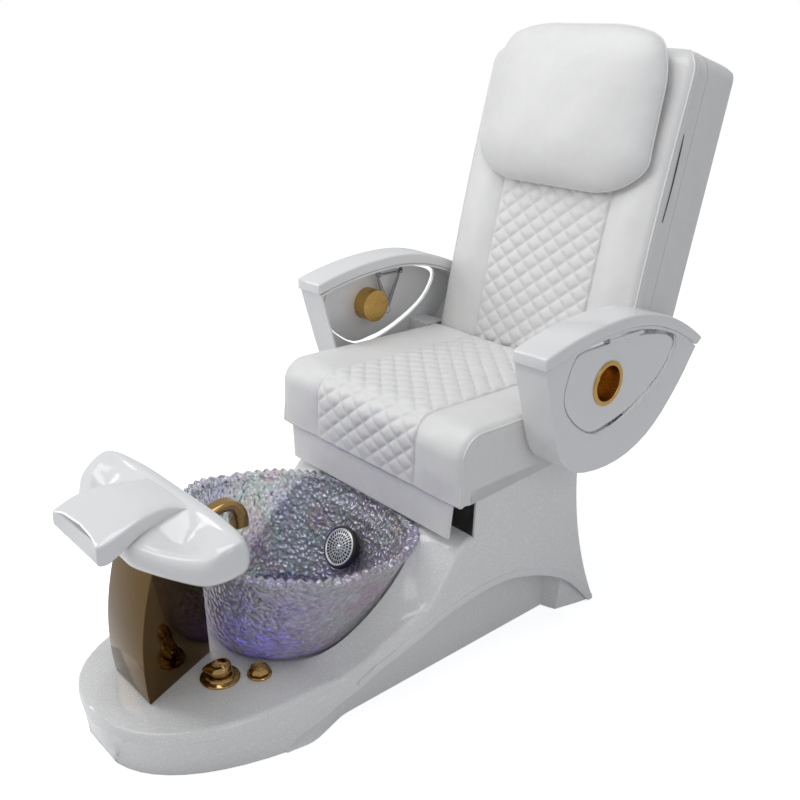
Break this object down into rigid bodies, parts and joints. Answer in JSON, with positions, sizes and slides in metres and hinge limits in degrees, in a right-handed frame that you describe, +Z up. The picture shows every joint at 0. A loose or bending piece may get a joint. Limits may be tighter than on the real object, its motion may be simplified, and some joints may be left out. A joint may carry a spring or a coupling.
{
  "type": "pedicure spa chair",
  "caption": "Pedicure spa chair: moulded base with crystal foot bowl, massage jet and tilting footrest, under a sliding seat with reclining massage back and armrests with fold-out trays",
  "frame": {"origin": "centre of the object's bounding box at floor level", "axes": "+Z up, -Y the way the sitter faces, +X the sitter's left"},
  "size_m": [0.795, 1.541, 1.3582],
  "materials": {
    "gloss_white": "gloss shell moulding with a fine sparkle",
    "leather_white": "smooth soft upholstery leather",
    "bronze": "polished bronze-gold plating",
    "gold_brushed": "brushed gold plating",
    "steel": "brushed steel",
    "dark_chrome": "dark chrome plating",
    "frame_black": "black powder coat",
    "black_plastic": "matt black plastic",
    "rubber_black": "soft black rubber",
    "crystal": "hammered crystal glass, clear with a violet sheen",
    "lamp": "diffuser of the coloured lamp",
    "grille_chrome": "polished pierced grille"
  },
  "bodies": {
    "base": {"base_shell": "gloss_white", "base_skirt": "gloss_white", "base_frame": "frame_black", "levelling_feet": "rubber_black", "rear_access_panel": "gloss_white", "access_screws": "steel", "glass_bowl": "crystal", "bowl_gasket": "rubber_black", "led_lamp": "lamp", "drain_flange": "steel", "drain_tail": "black_plastic", "jet_housing": "black_plastic", "jet_grille": "grille_chrome", "jet_motor": "black_plastic", "footrest_post": "bronze", "footrest_bracket": "frame_black", "mixer_escutcheon": "bronze", "drain_knob_base": "bronze", "spout_column": "bronze", "control_box": "black_plastic", "slide_rails": "steel", "slide_motor": "black_plastic"},
    "stopper": {"drain_stopper": "steel"},
    "impeller": {"jet_impeller": "black_plastic"},
    "footrest": {"footrest_block": "frame_black", "footrest_pads": "gloss_white", "footrest_band": "gloss_white"},
    "mixer": {"mixer_knob": "bronze"},
    "drain_control": {"drain_knob": "bronze"},
    "spout": {"spout": "bronze"},
    "seat": {"seat_carriage": "steel", "seat_pan": "frame_black", "seat_cushion": "leather_white", "seat_apron": "leather_white", "recline_motor": "black_plastic"},
    "back": {"back_frame": "frame_black", "back_cover": "leather_white", "back_cushion": "leather_white", "head_pillow": "leather_white", "pillow_straps": "leather_white", "massage_rails": "steel"},
    "massage": {"massage_carriage": "frame_black"},
    "rollers": {"massage_rollers": "black_plastic"},
    "arm_left": {"arm_shell_left": "gloss_white", "arm_cap_left": "gloss_white", "tray_hinge_left": "dark_chrome"},
    "arm_right": {"arm_shell_right": "gloss_white", "arm_cap_right": "gloss_white", "tray_hinge_right": "dark_chrome"},
    "tray_left": {"tray_left": "gloss_white", "cup_left": "gold_brushed"},
    "tray_right": {"tray_right": "gloss_white", "cup_right": "gold_brushed"},
    "stay_left": {"tray_stay_left": "dark_chrome"},
    "stay_right": {"tray_stay_right": "dark_chrome"}
  },
  "joints": [
    {"name": "seat_slide", "type": "slide", "parent": "base", "child": "seat", "axis": [0, -1, 0], "range_m": [0, 0.1]},
    {"name": "back_recline", "type": "hinge", "parent": "seat", "child": "back", "pos_m": [0, 0.45979, 0.49687], "axis": [-1, 0, 0], "range_deg": [0, 35]},
    {"name": "arm_lift_left", "type": "hinge", "parent": "seat", "child": "arm_left", "pos_m": [0.325, 0.421, 0.56], "axis": [-1, 0, 0], "range_deg": [0, 55]},
    {"name": "arm_lift_right", "type": "hinge", "parent": "seat", "child": "arm_right", "pos_m": [-0.325, 0.421, 0.56], "axis": [-1, 0, 0], "range_deg": [0, 55]},
    {"name": "tray_flip_left", "type": "hinge", "parent": "arm_left", "child": "tray_left", "pos_m": [0.393, 0.276, 0.752], "axis": [0, -1, 0], "range_deg": [0, 90]},
    {"name": "tray_flip_right", "type": "hinge", "parent": "arm_right", "child": "tray_right", "pos_m": [-0.393, 0.276, 0.752], "axis": [0, 1, 0], "range_deg": [0, 90]},
    {"name": "stay_swing_left", "type": "hinge", "parent": "arm_left", "child": "stay_left", "pos_m": [0.365, 0.2925, 0.734], "axis": [0, -1, 0], "range_deg": [0, 85]},
    {"name": "stay_swing_right", "type": "hinge", "parent": "arm_right", "child": "stay_right", "pos_m": [-0.365, 0.2925, 0.734], "axis": [0, 1, 0], "range_deg": [0, 85]},
    {"name": "footrest_tilt", "type": "hinge", "parent": "base", "child": "footrest", "pos_m": [0, -0.609, 0.423], "axis": [1, 0, 0], "range_deg": [-8, 12]},
    {"name": "mixer_turn", "type": "hinge", "parent": "base", "child": "mixer", "pos_m": [0.084, -0.537, 0.124], "axis": [0, 0, 1], "range_deg": [-50, 50]},
    {"name": "drain_knob_turn", "type": "hinge", "parent": "base", "child": "drain_control", "pos_m": [0.125, -0.471, 0.124], "axis": [0, 0, 1], "range_deg": [0, 90]},
    {"name": "drain_stopper_lift", "type": "slide", "parent": "base", "child": "stopper", "axis": [0, 0, 1], "range_m": [0, 0.0121]},
    {"name": "spout_swivel", "type": "hinge", "parent": "base", "child": "spout", "pos_m": [-0.05, -0.542, 0.372], "axis": [0, 0, 1], "range_deg": [-30, 30]},
    {"name": "jet_spin", "type": "hinge", "parent": "base", "child": "impeller", "pos_m": [-0.018, -0.12761, 0.214], "axis": [0, -0.8746, 0.4848], "continuous": true},
    {"name": "massage_travel", "type": "slide", "parent": "back", "child": "massage", "axis": [0, 0.2164, 0.9763], "range_m": [0, 0.3]},
    {"name": "roller_spin", "type": "hinge", "parent": "massage", "child": "rollers", "pos_m": [0, 0.5448, 0.7556], "axis": [1, 0, 0], "continuous": true}
  ],
  "couplings": [
    {"joint": "stay_swing_left", "follows": "tray_flip_left", "ratio": 0.94},
    {"joint": "stay_swing_right", "follows": "tray_flip_right", "ratio": 0.94},
    {"joint": "drain_stopper_lift", "follows": "drain_knob_turn", "m_per_rad": 0.0076394}
  ]
}
